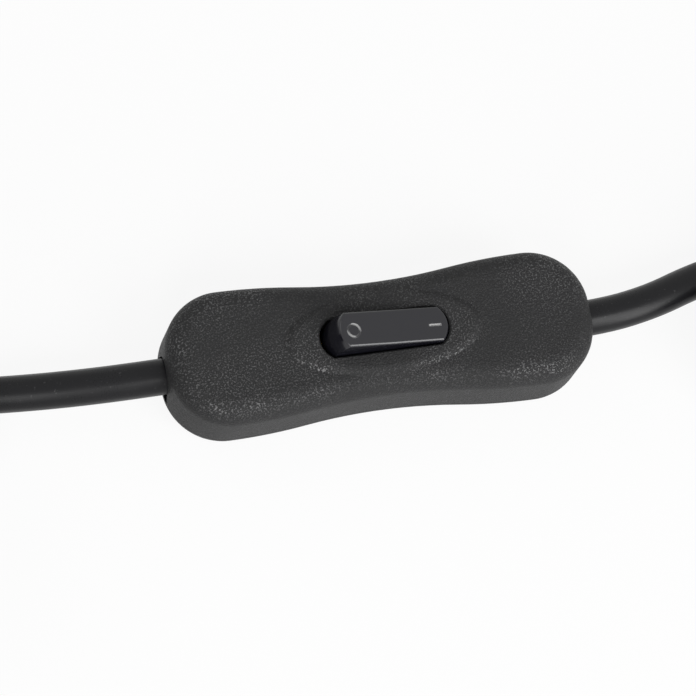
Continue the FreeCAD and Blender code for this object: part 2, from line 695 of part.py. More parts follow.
def screw(name, x, y, seat, head_radius, head_height, radius, length, upright=True):
    """A slotted screw whose head stands on its seat, or hangs under it."""
    if upright:
        head = rod(f"{name}_head", head_radius, (x, y, seat), head_height)
        shaft = rod(f"{name}_shaft", radius, (x, y, seat - length), length)
        slot_low, slot_high = seat + head_height - s.slot_depth, seat + head_height + s.fit_gap
    else:
        head = rod(f"{name}_head", head_radius, (x, y, seat - head_height), head_height)
        shaft = rod(f"{name}_shaft", radius, (x, y, seat), length)
        slot_low, slot_high = seat - head_height - s.fit_gap, seat - head_height + s.slot_depth
    slot = box(f"{name}_slot", (x - head_radius - s.fit_gap, y - s.slot_width / 2, slot_low),
               (x + head_radius + s.fit_gap, y + s.slot_width / 2, slot_high))
    return cut(name, fuse(f"{name}_blank", head, shaft), slot)


def make_terminal_screws():
    tip = strand_height + s.strand_radius
    return group("terminal_screws", *[
        screw(f"terminal_screw_{name}_{label}", as_size(side * block_middle), row * block_offset,
              block_top, s.terminal_head_radius, s.terminal_head_height, s.terminal_screw_radius,
              block_top - tip)
        for name, side in sides() for row, label in ((-1, "near"), (1, "far"))
    ])


def make_clamp(name, side):
    x_mid = side * clamp_centre
    bar = box(f"{name}_bar", (x_mid - s.clamp_length / 2, -s.clamp_width / 2, clamp_base),
              (x_mid + s.clamp_length / 2, s.clamp_width / 2, clamp_base + s.clamp_thickness))
    holes = [rod(f"{name}_hole_{label}", s.clamp_screw_radius + s.clamp_play,
                 (x_mid, row * s.clamp_screw_offset, clamp_base - s.fit_gap),
                 s.clamp_thickness + 2 * s.fit_gap) for row, label in ((-1, "near"), (1, "far"))]
    return cut(name, bar, *holes)


def make_clamp_screws():
    return group("clamp_screws", *[
        screw(f"clamp_screw_{name}_{label}", side * clamp_centre, row * s.clamp_screw_offset,
              clamp_base + s.clamp_thickness, s.clamp_head_radius, s.clamp_head_height,
              s.clamp_screw_radius, s.clamp_screw_length)
        for name, side in sides() for row, label in ((-1, "near"), (1, "far"))
    ])


def make_housing_screws():
    seat = s.case_head_sink + s.case_head_height
    return group("housing_screws", *[
        screw(f"housing_screw_{name}", side * case_screw_x, -side * s.case_screw_y, seat,
              s.case_head_radius, s.case_head_height, s.case_screw_radius, s.case_screw_length, False)
        for name, side in sides()
    ])


def route_line(points):
    """Straight runs joined by tangent arcs, each as large as its two runs allow."""
    spots = [Vector(*[float(as_size(v)) for v in point]) for point in points]
    edges, radii = [], []
    last = spots[0]
    for before, here, after in zip(spots, spots[1:], spots[2:]):
        way_in, way_out = (here - before), (after - here)
        reach = 0.45 * min(way_in.Length, way_out.Length)
        way_in.normalize()
        way_out.normalize()
        half_turn = way_in.getAngle(way_out) / 2
        radius = reach / math.tan(half_turn)
        centre_way = (way_out - way_in).normalize()
        start, end = here - way_in * reach, here + way_out * reach
        middle = here + centre_way * (radius / math.cos(half_turn) - radius)
        edges.append(Part.LineSegment(last, start).toShape())
        edges.append(Part.Arc(start, middle, end).toShape())
        radii.append(round(radius, 1))
        last = end
    edges.append(Part.LineSegment(last, spots[-1]).toShape())
    return Part.Wire(edges), radii


def tube(name, radius, points):
    """A round tube along a route, checked against its section times its length."""
    wire, radii = route_line(points)
    path = doc.addObject("Part::Feature", f"{name}_route")
    path.Shape = wire
    section = doc.addObject("Part::Circle", f"{name}_section")
    bind(section, "Radius", radius)
    first = wire.OrderedEdges[0]
    way = first.tangentAt(first.FirstParameter)
    section.Placement = FreeCAD.Placement(wire.OrderedVertexes[0].Point, Rotation(Vector(0, 0, 1), way))
    item = doc.addObject("Part::Sweep", name)
    item.Sections = [section]
    item.Spine = (path, [f"Edge{i + 1}" for i in range(len(wire.Edges))])
    item.Solid = True
    settle(item)
    wanted = math.pi * float(radius) ** 2 * wire.Length
    print(name, "length", round(wire.Length, 1), "radii", radii, "volume", round(item.Shape.Volume / wanted, 4))
    if abs(item.Shape.Volume / wanted - 1) > 0.005:
        raise ValueError(f"{name} has lost its section")
    return item


def make_core(name, side, row):
    end = jacket_end
    stop = core_stop
    y_out = row * block_offset
    return tube(name, s.core_radius, [
        (side * end, row * s.core_spread, s.cord_height),
        (side * (end - 1.7), row * s.core_spread, s.cord_height),
        (side * (stop + 1.5), y_out, strand_height),
        (side * stop, y_out, strand_height),
    ])


def make_strands():
    length = core_stop - block_start - 0.5
    items = []
    for name, side in sides():
        start = block_start + 0.5 if side > 0 else -core_stop
        for row, label in ((-1, "near"), (1, "far")):
            items.append(rod(f"strands_{name}_{label}", s.strand_radius,
                             (start, row * block_offset, strand_height), length, "x"))
    return group("core_strands", *items)


def make_hank(name, x_mid, y_mid, length, waist, layers):
    body = doc.addObject("PartDesign::Body", name)
    outline = sketch(body, f"{name}_outline")
    waisted_outline(outline, length / 2, hank_half, waist, hank_half - s.cord_diameter / 12)
    pad(body, f"{name}_pack", outline, layers * s.cord_diameter)
    return place(body, x_mid, y_mid, s.tie_thickness)


def make_tie(name, x_mid, y_mid, waist, top):
    inner = waist + s.tie_play
    outer = inner + s.tie_thickness
    x_low = x_mid - s.tie_width / 2
    strap = box(f"{name}_strap", (x_low, y_mid - outer, 0), (x_low + s.tie_width, y_mid + outer,
                                                           top + s.tie_thickness))
    inside = box(f"{name}_inside", (x_low - s.fit_gap, y_mid - inner, s.tie_thickness),
                 (x_low + s.tie_width + s.fit_gap, y_mid + inner, top))
    return cut(name, strap, inside)


def make_plug_body():
    face = -s.plug_face
    body = doc.addObject("PartDesign::Body", "plug_shape")
    half = s.plug_width / 2
    neck = s.plug_neck_width / 2
    outline = sketch(body, "plug_outline", offset=plug_height)
    loop(outline, [
        (face, -s.plug_y - half), (face + s.plug_shoulder, -s.plug_y - half),
        (face + s.plug_length, -s.plug_y - neck), (face + s.plug_length, neck - s.plug_y),
        (face + s.plug_shoulder, half - s.plug_y), (face, half - s.plug_y),
    ])
    block = pad(body, "plug_block", outline, s.plug_thickness, both=True)
    soften(body, "plug_rounding", block, s.plug_round,
           lambda e: e.BoundBox.ZLength < 0.1 and e.BoundBox.XLength > 0.1)
    start = face + s.plug_length - 1
    relief = rod("relief", s.relief_radius, (start, -s.plug_y, plug_height), s.relief_length + 1, "x")
    grooves = []
    for number in range(1, 5):
        groove = doc.addObject("Part::Torus", f"relief_groove_{number}")
        bind(groove, "Radius1", s.relief_radius + s.relief_groove / 4)
        bind(groove, "Radius2", s.relief_groove)
        x = face + s.plug_length + number * s.relief_pitch - s.relief_pitch / 4
        grooves.append(place(groove, x, -s.plug_y, plug_height, *TURNS["x"]))
    holes = [rod(f"pin_hole_{label}", s.pin_root_radius, (face - s.fit_gap, row * s.pin_spacing / 2 - s.plug_y,
                                                    plug_height), s.pin_root + s.fit_gap, "x")
             for row, label in ((-1, "near"), (1, "far"))]
    return cut("plug_body", fuse("plug_blank", body, relief), *grooves, *holes)


def make_plug_pins():
    face = -s.plug_face
    items, sleeves = [], []
    for row, label in ((-1, "near"), (1, "far")):
        y = row * s.pin_spacing / 2 - s.plug_y
        bare = s.pin_length - s.sleeve_length
        tip = cone(f"pin_tip_{label}", s.pin_radius - s.pin_tip, s.pin_radius,
                   (face - s.pin_length, y, plug_height), s.pin_tip, "x")
        front = rod(f"pin_front_{label}", s.pin_radius, (face - s.pin_length + s.pin_tip, y, plug_height),
                    bare - s.pin_tip, "x")
        core = rod(f"pin_core_{label}", s.pin_core, (face - s.sleeve_length, y, plug_height),
                   s.sleeve_length, "x")
        root_part = rod(f"pin_root_{label}", s.pin_root_radius, (face, y, plug_height), s.pin_root, "x")
        items.append(fuse(f"pin_{label}", tip, front, core, root_part))
        skin = rod(f"sleeve_skin_{label}", s.sleeve_radius, (face - s.sleeve_length, y, plug_height),
                   s.sleeve_length, "x")
        hole = rod(f"sleeve_hole_{label}", s.pin_core, (face - s.sleeve_length - s.fit_gap, y, plug_height),
                   s.sleeve_length + 2 * s.fit_gap, "x")
        sleeves.append(cut(f"sleeve_{label}", skin, hole))
    return group("plug_pins", *items), group("plug_sleeves", *sleeves)


plug_mid = -s.plug_hank_end - s.plug_hank_length / 2
lamp_mid = s.lamp_hank_end + s.lamp_hank_length / 2
plug_run = s.fold_radius - s.plug_hank_y
lamp_run = s.fold_radius - s.lamp_hank_y
low_run = s.tie_thickness + cord_radius
plug_high_run = plug_hank_top - cord_radius
lamp_high_run = lamp_hank_top - cord_radius
relief_end = s.plug_length + s.relief_length - s.plug_face

plug_side_route = [
    (-jacket_end, 0, s.cord_height), (-38.5, 0, s.cord_height), (-51.0, 0.5, 6.7), (-63.0, 1.4, 5.6),
    (-74.5, 2.5, 4.5), (-86.0, plug_run, low_run),
]
lamp_side_route = [
    (jacket_end, 0, s.cord_height), (37.5, 0, s.cord_height), (47.5, 1.6, 6.8), (56.0, 4.6, 5.6),
    (65.0, 6.6, 4.6), (75.0, lamp_run, low_run),
]
plug_tail_route = [
    (-79.0, 1.0, plug_high_run), (-86.1, 0.7, plug_high_run + 1.8), (-93.1, -0.7, plug_high_run + 4.2),
    (-100.4, -3.5, plug_high_run + 7.2), (-107.7, -5.8, plug_height - 0.85),
    (relief_end + 7.1, -s.plug_y, plug_height), (relief_end, -s.plug_y, plug_height),
]
lamp_tail_route = [
    (70.0, 4.4, lamp_high_run), (76.9, 4.5, lamp_high_run + 2.3), (84.2, 3.3, lamp_high_run + 4.8),
    (91.9, 0.4, lamp_high_run + 7.1), (99.5, -3.1, lamp_high_run + 7.6),
    (s.lamp_jacket_end - 7.3, -5.0, lamp_high_run + 7.3), (s.lamp_jacket_end, -5.0, lamp_high_run + 7.3),
]

upper_shell = make_upper_shell()
lower_shell = make_lower_shell()
rocker = make_rocker()
plug_pins, plug_sleeves = make_plug_pins()
lamp_end_height = lamp_high_run + 7.3


def make_lamp_core(name, row):
    x = s.lamp_jacket_end
    rest = lamp_hank_top + s.ferrule_collar + s.ferrule_rest
    length = s.bare_core_length - s.ferrule_length
    return tube(name, s.core_radius, [
        (x, -5.0 + row * s.core_spread, lamp_end_height),
        (x + 2.5, -5.0 + row * s.core_spread, lamp_end_height), (x + 7.0, -5.5 + row * 2.3, rest + 1.4),
        (x + length - 4.0, -6.3 + row * 3.3, rest), (x + length, -6.8 + row * 3.6, rest),
    ])


def make_ferrules():
    """Crimped tubes with plastic collars on the ends of the two bare cores."""
    items = []
    for row, label in ((-1, "near"), (1, "far")):
        core = doc.getObject("lamp_neutral_core" if row > 0 else "lamp_live_core")
        wire = doc.getObject(core.Name + "_route").Shape
        last = wire.OrderedEdges[-1]
        way = last.tangentAt(last.LastParameter)
        turn = Rotation(Vector(0, 0, 1), way)
        start = wire.OrderedVertexes[-1].Point
        collar = doc.addObject("Part::Cylinder", f"ferrule_collar_{label}")
        bind(collar, "Radius", s.ferrule_collar)
        bind(collar, "Height", s.ferrule_collar_length)
        collar.Placement = FreeCAD.Placement(start, turn)
        barrel = doc.addObject("Part::Cylinder", f"ferrule_barrel_{label}")
        bind(barrel, "Radius", s.ferrule_radius)
        bind(barrel, "Height", s.ferrule_length)
        barrel.Placement = FreeCAD.Placement(start, turn)
        items.append(fuse(f"ferrule_{label}", collar, barrel))
    return group("lamp_ferrules", *items)


pieces = [
    upper_shell, lower_shell, rocker, make_plunger(), make_spring(), make_bridge(),
    make_moving_contact(), make_fixed_contact(), make_live_in(), make_live_out(), make_neutral(),
    make_terminal_screws(), make_clamp("plug_side_clamp", -1), make_clamp("lamp_side_clamp", 1),
    make_clamp_screws(), make_housing_screws(),
    make_core("live_core_in", -1, -1), make_core("neutral_core_in", -1, 1),
    make_core("live_core_out", 1, -1), make_core("neutral_core_out", 1, 1), make_strands(),
    tube("plug_side_cord", cord_radius, plug_side_route),
    tube("lamp_side_cord", cord_radius, lamp_side_route),
    make_hank("plug_side_hank", plug_mid, -s.plug_hank_y, s.plug_hank_length, s.plug_hank_waist,
              s.plug_hank_layers),
    make_hank("lamp_side_hank", lamp_mid, -s.lamp_hank_y, s.lamp_hank_length, s.lamp_hank_waist,
              s.lamp_hank_layers),
    make_tie("plug_side_tie", plug_mid, -s.plug_hank_y, s.plug_hank_waist, plug_hank_top),
    make_tie("lamp_side_tie", lamp_mid, -s.lamp_hank_y, s.lamp_hank_waist, lamp_hank_top),
    tube("plug_tail", cord_radius, plug_tail_route), tube("lamp_tail", cord_radius, lamp_tail_route),
    make_plug_body(), plug_pins, plug_sleeves,
    make_lamp_core("lamp_live_core", -1), make_lamp_core("lamp_neutral_core", 1), make_ferrules(),
]

doc.recompute()
for item in doc.Objects:
    if "Invalid" in item.State or "Error" in item.State:
        raise ValueError(f"{item.Name} failed: {item.State}")
for item in pieces:
    if item.Shape.isNull() or not item.Shape.isValid():
        raise ValueError(f"{item.Label} has no sound shape")
os.makedirs("parts", exist_ok=True)
for item in pieces:
    limits = item.Shape.BoundBox
    span = [round(v, 2) for v in (limits.XMin, limits.XMax, limits.YMin, limits.YMax, limits.ZMin, limits.ZMax)]
    print(item.Label, len(item.Shape.Solids), round(item.Shape.Volume, 1), span)
    item.Shape.exportStep(f"parts/{item.Label}.step")
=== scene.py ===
import json
import math
import random

import bpy
from mathutils import Matrix, Vector


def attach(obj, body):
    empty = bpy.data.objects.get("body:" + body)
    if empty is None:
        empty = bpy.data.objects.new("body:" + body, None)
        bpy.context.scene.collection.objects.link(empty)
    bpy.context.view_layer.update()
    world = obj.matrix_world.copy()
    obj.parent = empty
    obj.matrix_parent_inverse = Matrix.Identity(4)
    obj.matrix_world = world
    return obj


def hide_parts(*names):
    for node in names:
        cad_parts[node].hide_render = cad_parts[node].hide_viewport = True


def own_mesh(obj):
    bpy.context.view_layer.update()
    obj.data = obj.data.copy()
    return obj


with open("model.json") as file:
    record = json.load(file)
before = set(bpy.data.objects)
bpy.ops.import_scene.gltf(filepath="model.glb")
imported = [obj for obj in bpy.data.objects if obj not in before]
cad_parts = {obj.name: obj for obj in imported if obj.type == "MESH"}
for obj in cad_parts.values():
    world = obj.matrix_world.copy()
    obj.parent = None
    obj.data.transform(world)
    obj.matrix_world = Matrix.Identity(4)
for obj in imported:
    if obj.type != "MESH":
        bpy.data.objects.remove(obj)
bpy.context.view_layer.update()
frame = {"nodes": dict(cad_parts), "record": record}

mm = 0.001
scene = bpy.context.scene
scene.view_settings.view_transform = "Standard"


def metres(points):
    return [Vector(p) * mm for p in points]


def newMaterial(name):
    material = bpy.data.materials.new(name)
    material.use_nodes = True
    material.node_tree.nodes.clear()
    return material, material.node_tree


def addNode(tree, kind, x=0, y=0, **settings):
    node = tree.nodes.new(kind)
    node.location = (x, y)
    for key, value in settings.items():
        setattr(node, key, value)
    return node


def setInputs(node, **values):
    for key, value in values.items():
        node.inputs[key].default_value = value


def link(tree, source, target):
    tree.links.new(source, target)


# value may be a number or the socket it comes from
def feed(tree, value, socket):
    if isinstance(value, bpy.types.NodeSocket):
        link(tree, value, socket)
    else:
        socket.default_value = value


def math2(tree, x, y, operation, first, second=None, third=None):
    node = addNode(tree, "ShaderNodeMath", x, y, operation=operation)
    for socket, value in zip(node.inputs, (first, second, third)):
        if value is not None:
            feed(tree, value, socket)
    return node.outputs[0]


def ramp(tree, x, y, value, low, high, start=0.0, end=1.0):
    node = addNode(tree, "ShaderNodeMapRange", x, y)
    setInputs(node, **{"To Min": start, "To Max": end})
    feed(tree, value, node.inputs["Value"])
    feed(tree, low, node.inputs["From Min"])
    feed(tree, high, node.inputs["From Max"])
    return node.outputs["Result"]


def mixColor(tree, x, y, factor, first, second):
    node = addNode(tree, "ShaderNodeMix", x, y, data_type="RGBA")
    for socket, value in ((node.inputs[0], factor), (node.inputs[6], first), (node.inputs[7], second)):
        feed(tree, value, socket)
    return node.outputs[2]


cameraView = {
    "elevation": 69.4,          # degrees above the table
    "swing": 41.0,              # degrees the lens stands round to the plug side
    "roll": -31.6,              # degrees the picture is turned
    "distance": 0.77,
    "aim": (0.0, 0.0, 0.0072),
    "pixelsPerMetre": 6133,     # at the aim point
    "centre": (375.2, 347.5),   # where the aim point lands in the 696 px frame
    "frame": 696,
    "sensor": 36.0,
    "near": 0.01,
    "far": 20,
}


def makeCamera(c):
    e, a = math.radians(c["elevation"]), math.radians(c["swing"])
    toward = Vector((-math.sin(a) * math.cos(e), -math.cos(a) * math.cos(e), math.sin(e)))
    right = Vector((math.cos(a), -math.sin(a), 0))
    up = toward.cross(right)
    r = math.radians(c["roll"])
    turnedRight = right * math.cos(r) - up * math.sin(r)
    turnedUp = right * math.sin(r) + up * math.cos(r)
    data = bpy.data.cameras.new("camera")
    data.sensor_width = c["sensor"]
    data.lens = c["pixelsPerMetre"] * c["distance"] * c["sensor"] / c["frame"]
    data.shift_x = (c["frame"] / 2 - c["centre"][0]) / c["frame"]
    data.shift_y = (c["centre"][1] - c["frame"] / 2) / c["frame"]
    data.clip_start = c["near"]
    data.clip_end = c["far"]
    camera = bpy.data.objects.new("camera", data)
    turn = Matrix((turnedRight, turnedUp, toward)).transposed().to_4x4()
    camera.matrix_world = Matrix.Translation(Vector(c["aim"]) + toward * c["distance"]) @ turn
    scene.collection.objects.link(camera)
    scene.camera = camera


makeCamera(cameraView)
print("camera set")


# in millimetres; the routes follow the photo up to its edges, then run to the hanks
cordSizes = {
    "diameter": 6.0,
    "bendSteps": 6,         # how finely the tube is drawn along and around
    "roundSteps": 6,
    "plugRoute": [(-26.2, 0, 7.2), (-38.5, -0.25, 7.1), (-51.0, -0.05, 6.6), (-63.0, 0.85, 5.5),
                  (-74.5, 2.2, 4.5), (-86.0, 3.0, 4.1)],
    "lampRoute": [(26.2, 0, 7.2), (37.5, 0, 7.2), (47.5, 1.6, 6.8), (56.0, 4.6, 5.6),
                  (65.0, 6.6, 4.6), (75.0, 7.0, 4.1)],
    "plugTail": [(-87.1, 2.4, 28.0), (-95.0, 1.2, 28.9), (-101.5, -1.6, 29.9), (-107.5, -4.6, 31.0),
                 (-115.5, -7.0, 31.95), (-122.0, -7.0, 31.95)],
    "lampTail": [(78.2, 6.3, 16.0), (86.2, 5.0, 16.7), (93.2, 1.7, 17.3), (100.0, -2.0, 17.7),
                 (108.5, -5.0, 17.4), (115.0, -5.0, 17.4)],
    "plugHank": {"middle": (-122.0, -15.0), "length": 110.0, "waist": 12.0, "layers": 4,
                 "runSteps": 6, "way": 1, "seed": 4},
    "lampHank": {"middle": (100.0, -11.0), "length": 84.0, "waist": 17.0, "layers": 2,
                 "runSteps": 4, "way": -1, "seed": 7},
    "foldRadius": 17.9,
    "foldSteps": 6,
    "firstLayer": 4.1,      # height of the lowest turns
    "climbPoints": 5,       # points over which one layer climbs to the next
    "looseness": 0.12,      # how far off a point may lie, as wound by hand
}


# one turn round the hank's middle, from the end where the cord comes in
def hankLoop(hank, c):
    r, way = c["foldRadius"], hank["way"]
    reach = r / math.cos(math.pi / c["foldSteps"] / 2)      # the spline cuts inside its points
    straight = hank["length"] / 2 - c["diameter"] / 2 - reach
    waist = hank["waist"] - c["diameter"] / 2
    points = []
    for side in (1, -1):
        for i in range(hank["runSteps"] + 1):       # along a run, drawn in at the middle
            x = straight * (1 - 2 * i / hank["runSteps"]) * side
            y = waist + (r - waist) * (1 - math.cos(math.pi * abs(x) / straight)) / 2
            points.append((x * way, side * y))
        for i in range(1, c["foldSteps"]):      # round a fold
            turn = math.pi * i / c["foldSteps"]
            x = straight + reach * math.sin(turn)
            points.append((-side * way * x, side * reach * math.cos(turn)))
    return points


# layer on layer, each climbing to the next near its end; the first point is the route's last
def wound(hank, c):
    rng = random.Random(hank["seed"])
    loop = hankLoop(hank, c)
    wobble = c["looseness"]
    points = []
    for layer in range(hank["layers"]):
        for i, (x, y) in enumerate(loop):
            climb = max(0.0, (i - len(loop) + c["climbPoints"]) / c["climbPoints"])
            z = c["firstLayer"] + c["diameter"] * (layer + climb)
            points.append((hank["middle"][0] + x + rng.uniform(-wobble, wobble),
                           hank["middle"][1] + y + rng.uniform(-wobble, wobble), z))
    return points[1:]


def makeCord(name, points, c):
    curve = bpy.data.curves.new(name, "CURVE")
    curve.dimensions = "3D"
    curve.bevel_depth = 1.0     # the points carry the radius, so the curve's bounds are true
    curve.bevel_resolution = c["roundSteps"]
    curve.use_fill_caps = True
    curve.resolution_u = c["bendSteps"]
    spline = curve.splines.new("NURBS")
    spline.points.add(len(points) - 1)
    for point, spot in zip(spline.points, metres(points)):
        point.co = (*spot, 1)
        point.radius = c["diameter"] / 2 * mm
    spline.order_u = 3
    spline.use_endpoint_u = True
    cord = bpy.data.objects.new(name, curve)
    scene.collection.objects.link(cord)
    return cord


plugTurns = wound(cordSizes["plugHank"], cordSizes)
lampTurns = wound(cordSizes["lampHank"], cordSizes)
plugPoints = cordSizes["plugRoute"] + plugTurns + cordSizes["plugTail"]
lampPoints = cordSizes["lampRoute"] + lampTurns + cordSizes["lampTail"]
plugSideCord = makeCord("plugSideCord", plugPoints, cordSizes)
lampSideCord = makeCord("lampSideCord", lampPoints, cordSizes)
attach(plugSideCord, "housing")
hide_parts("plug_side_cord", "plug_side_hank", "plug_tail")
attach(lampSideCord, "housing")
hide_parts("lamp_side_cord", "lamp_side_hank", "lamp_tail")
print("cords laid")


number, colour = "NodeSocketFloat", "NodeSocketColor"


def newGroup(name, inputs, outputs):
    tree = bpy.data.node_groups.new(name, "ShaderNodeTree")
    for label, kind, value in inputs:
        socket = tree.interface.new_socket(label, in_out="INPUT", socket_type=kind)
        socket.default_value = value
    for label, kind in outputs:
        tree.interface.new_socket(label, in_out="OUTPUT", socket_type=kind)
    given = addNode(tree, "NodeGroupInput", -1200, 0).outputs
    return tree, given, addNode(tree, "NodeGroupOutput", 600, 0).inputs


def placeOn(tree, x=-1200, y=-300):
    return addNode(tree, "ShaderNodeTexCoord", x, y).outputs["Object"]


# spark-eroded mould grain: fine pits, and smoother specks that catch the light
sparkShape = {"speckStart": 0.54, "speckFull": 0.62, "patchStart": 0.38, "patchFull": 0.62,
              "patchLeast": 0.25, "pitDepth": 0.5}


def makeSparkGrain(s):
    tree, given, result = newGroup("sparkGrain", [
        ("Scale", number, 4000.0), ("Patches", number, 70.0), ("Color", colour, (0.02, 0.02, 0.02, 1)),
        ("Speck", colour, (0.05, 0.05, 0.05, 1)), ("Roughness", number, 0.5), ("Shine", number, 0.15),
        ("Density", number, 1.0),
    ], [("Color", colour), ("Roughness", number), ("Height", number), ("Speck", number)])
    place = placeOn(tree)
    fine = addNode(tree, "ShaderNodeTexNoise", -900, 200)
    setInputs(fine, Detail=2.0, Roughness=0.65)
    cells = addNode(tree, "ShaderNodeTexVoronoi", -900, -100, feature="F1")
    patches = addNode(tree, "ShaderNodeTexNoise", -900, -400)
    setInputs(patches, Detail=2.0, Roughness=0.5)
    for texture, scale in ((fine, "Scale"), (cells, "Scale"), (patches, "Patches")):
        link(tree, place, texture.inputs["Vector"])
        link(tree, given[scale], texture.inputs["Scale"])
    dense = ramp(tree, -650, -400, patches.outputs["Fac"], s["patchStart"], s["patchFull"],
                 s["patchLeast"], 1.0)
    specks = ramp(tree, -650, 200, fine.outputs["Fac"], s["speckStart"], s["speckFull"])
    dense = math2(tree, -550, -100, "MULTIPLY", dense, given["Density"])
    shown = math2(tree, -400, 100, "MULTIPLY", specks, dense)
    link(tree, mixColor(tree, 0, 250, shown, given["Color"], given["Speck"]), result["Color"])
    link(tree, shown, result["Speck"])
    smoother = math2(tree, -150, 0, "MULTIPLY", shown, given["Shine"])
    link(tree, math2(tree, 50, 0, "SUBTRACT", given["Roughness"], smoother), result["Roughness"])
    pits = math2(tree, -400, -150, "MULTIPLY", cells.outputs["Distance"], s["pitDepth"])
    link(tree, math2(tree, -150, -200, "ADD", fine.outputs["Fac"], pits), result["Height"])
    return tree


# faint cloudy change of shine where it has been held, as a roughness and as a mask
def makeHandling():
    tree, given, result = newGroup("handling", [
        ("Scale", number, 60.0), ("Amount", number, 0.05), ("Roughness", number, 0.5),
    ], [("Roughness", number), ("Mask", number)])
    cloud = addNode(tree, "ShaderNodeTexNoise", -900, 0)
    setInputs(cloud, Detail=3.0, Roughness=0.55)
    link(tree, placeOn(tree), cloud.inputs["Vector"])
    link(tree, given["Scale"], cloud.inputs["Scale"])
    centred = math2(tree, -500, 0, "SUBTRACT", cloud.outputs["Fac"], 0.5)
    link(tree, math2(tree, -200, 0, "MULTIPLY_ADD", centred, given["Amount"], given["Roughness"]),
         result["Roughness"])
    link(tree, cloud.outputs["Fac"], result["Mask"])
    return tree


# broken-up mask along edges, where touch has polished or paled the surface; on the rocker it also
# carries a painted highlight along the edges
edgeShape = {"flat": 0.99, "sharp": 0.88, "breakStart": 0.35, "breakFull": 0.6}


def makeEdgeWearAndHighlight(s):
    tree, given, result = newGroup("edgeWearAndHighlight", [
        ("Radius", number, 0.0003), ("Scale", number, 900.0), ("Amount", number, 0.6),
    ], [("Mask", number)])
    soft = addNode(tree, "ShaderNodeBevel", -900, 0, samples=4)
    link(tree, given["Radius"], soft.inputs["Radius"])
    plain = addNode(tree, "ShaderNodeNewGeometry", -900, -200)
    bend = addNode(tree, "ShaderNodeVectorMath", -700, 0, operation="DOT_PRODUCT")
    link(tree, soft.outputs["Normal"], bend.inputs[0])
    link(tree, plain.outputs["Normal"], bend.inputs[1])
    edge = ramp(tree, -450, 0, bend.outputs["Value"], s["flat"], s["sharp"])
    breakUp = addNode(tree, "ShaderNodeTexNoise", -900, -450)
    setInputs(breakUp, Detail=3.0, Roughness=0.6)
    link(tree, placeOn(tree), breakUp.inputs["Vector"])
    link(tree, given["Scale"], breakUp.inputs["Scale"])
    broken = ramp(tree, -450, -400, breakUp.outputs["Fac"], s["breakStart"], s["breakFull"])
    worn = math2(tree, -200, -100, "MULTIPLY", edge, broken)
    link(tree, math2(tree, 100, 0, "MULTIPLY", worn, given["Amount"]), result["Mask"])
    return tree


# pale dust that settles on faces that look up
dustShape = {"sloping": 0.4, "level": 0.95, "moteStart": 0.66, "moteFull": 0.76}


def makeDust(s):
    tree, given, result = newGroup("dust", [
        ("Scale", number, 2500.0), ("Amount", number, 0.4),
    ], [("Mask", number)])
    plain = addNode(tree, "ShaderNodeNewGeometry", -900, 0)
    split = addNode(tree, "ShaderNodeSeparateXYZ", -700, 0)
    link(tree, plain.outputs["Normal"], split.inputs[0])
    upward = ramp(tree, -450, 0, split.outputs["Z"], s["sloping"], s["level"])
    motes = addNode(tree, "ShaderNodeTexNoise", -900, -300)
    setInputs(motes, Detail=2.0, Roughness=0.7)
    link(tree, placeOn(tree), motes.inputs["Vector"])
    link(tree, given["Scale"], motes.inputs["Scale"])
    mote = ramp(tree, -450, -300, motes.outputs["Fac"], s["moteStart"], s["moteFull"])
    lying = math2(tree, -200, 0, "MULTIPLY", upward, mote)
    link(tree, math2(tree, 100, 0, "MULTIPLY", lying, given["Amount"]), result["Mask"])
    return tree


sparkGrain = makeSparkGrain(sparkShape)
handling = makeHandling()
edgeWearAndHighlight = makeEdgeWearAndHighlight(edgeShape)
dust = makeDust(dustShape)
print("shared effects built")


def useGroup(tree, group, x, y, **values):
    node = addNode(tree, "ShaderNodeGroup", x, y)
    node.node_tree = group
    for key, value in values.items():
        feed(tree, value, node.inputs[key])
    return node.outputs


def principled(tree, **values):
    shader = addNode(tree, "ShaderNodeBsdfPrincipled", 500, 0)
    for key, value in values.items():
        feed(tree, value, shader.inputs[key])
    output = addNode(tree, "ShaderNodeOutputMaterial", 800, 0)
    link(tree, shader.outputs["BSDF"], output.inputs["Surface"])
    return shader


def bumpFrom(tree, shader, height, strength, distance):
    bump = addNode(tree, "ShaderNodeBump", 250, -300)
    setInputs(bump, Strength=strength, Distance=distance)
    link(tree, height, bump.inputs["Height"])
    link(tree, bump.outputs["Normal"], shader.inputs["Normal"])


housingFinish = {
    "color": (0.0295, 0.0295, 0.03, 1), "speck": (0.068, 0.068, 0.069, 1),
    "worn": (0.04, 0.04, 0.041, 1), "dust": (0.2, 0.2, 0.2, 1),
    "seamColor": (0.003, 0.003, 0.003, 1),
    "specular": 0.1, "roughness": 0.5, "shine": 0.15, "speckCoat": 1.0, "coatRoughness": 0.3,
    "wallSpecks": 0.12,       # the side walls drag on the mould and come out smoother
    "steep": 0.25, "level": 0.8,
    "touch": {"Scale": 45.0, "Amount": 0.08},
    "edge": {"Radius": 0.0004, "Scale": 700.0, "Amount": 0.5},
    "fallen": {"Scale": 2600.0, "Amount": 0.35},
    "grain": 3400.0, "patches": 75.0, "bump": 0.9, "bumpSize": 0.0002,
    "seamHeight": 0.0042, "seamWidth": 0.00014,     # where the shells meet
}


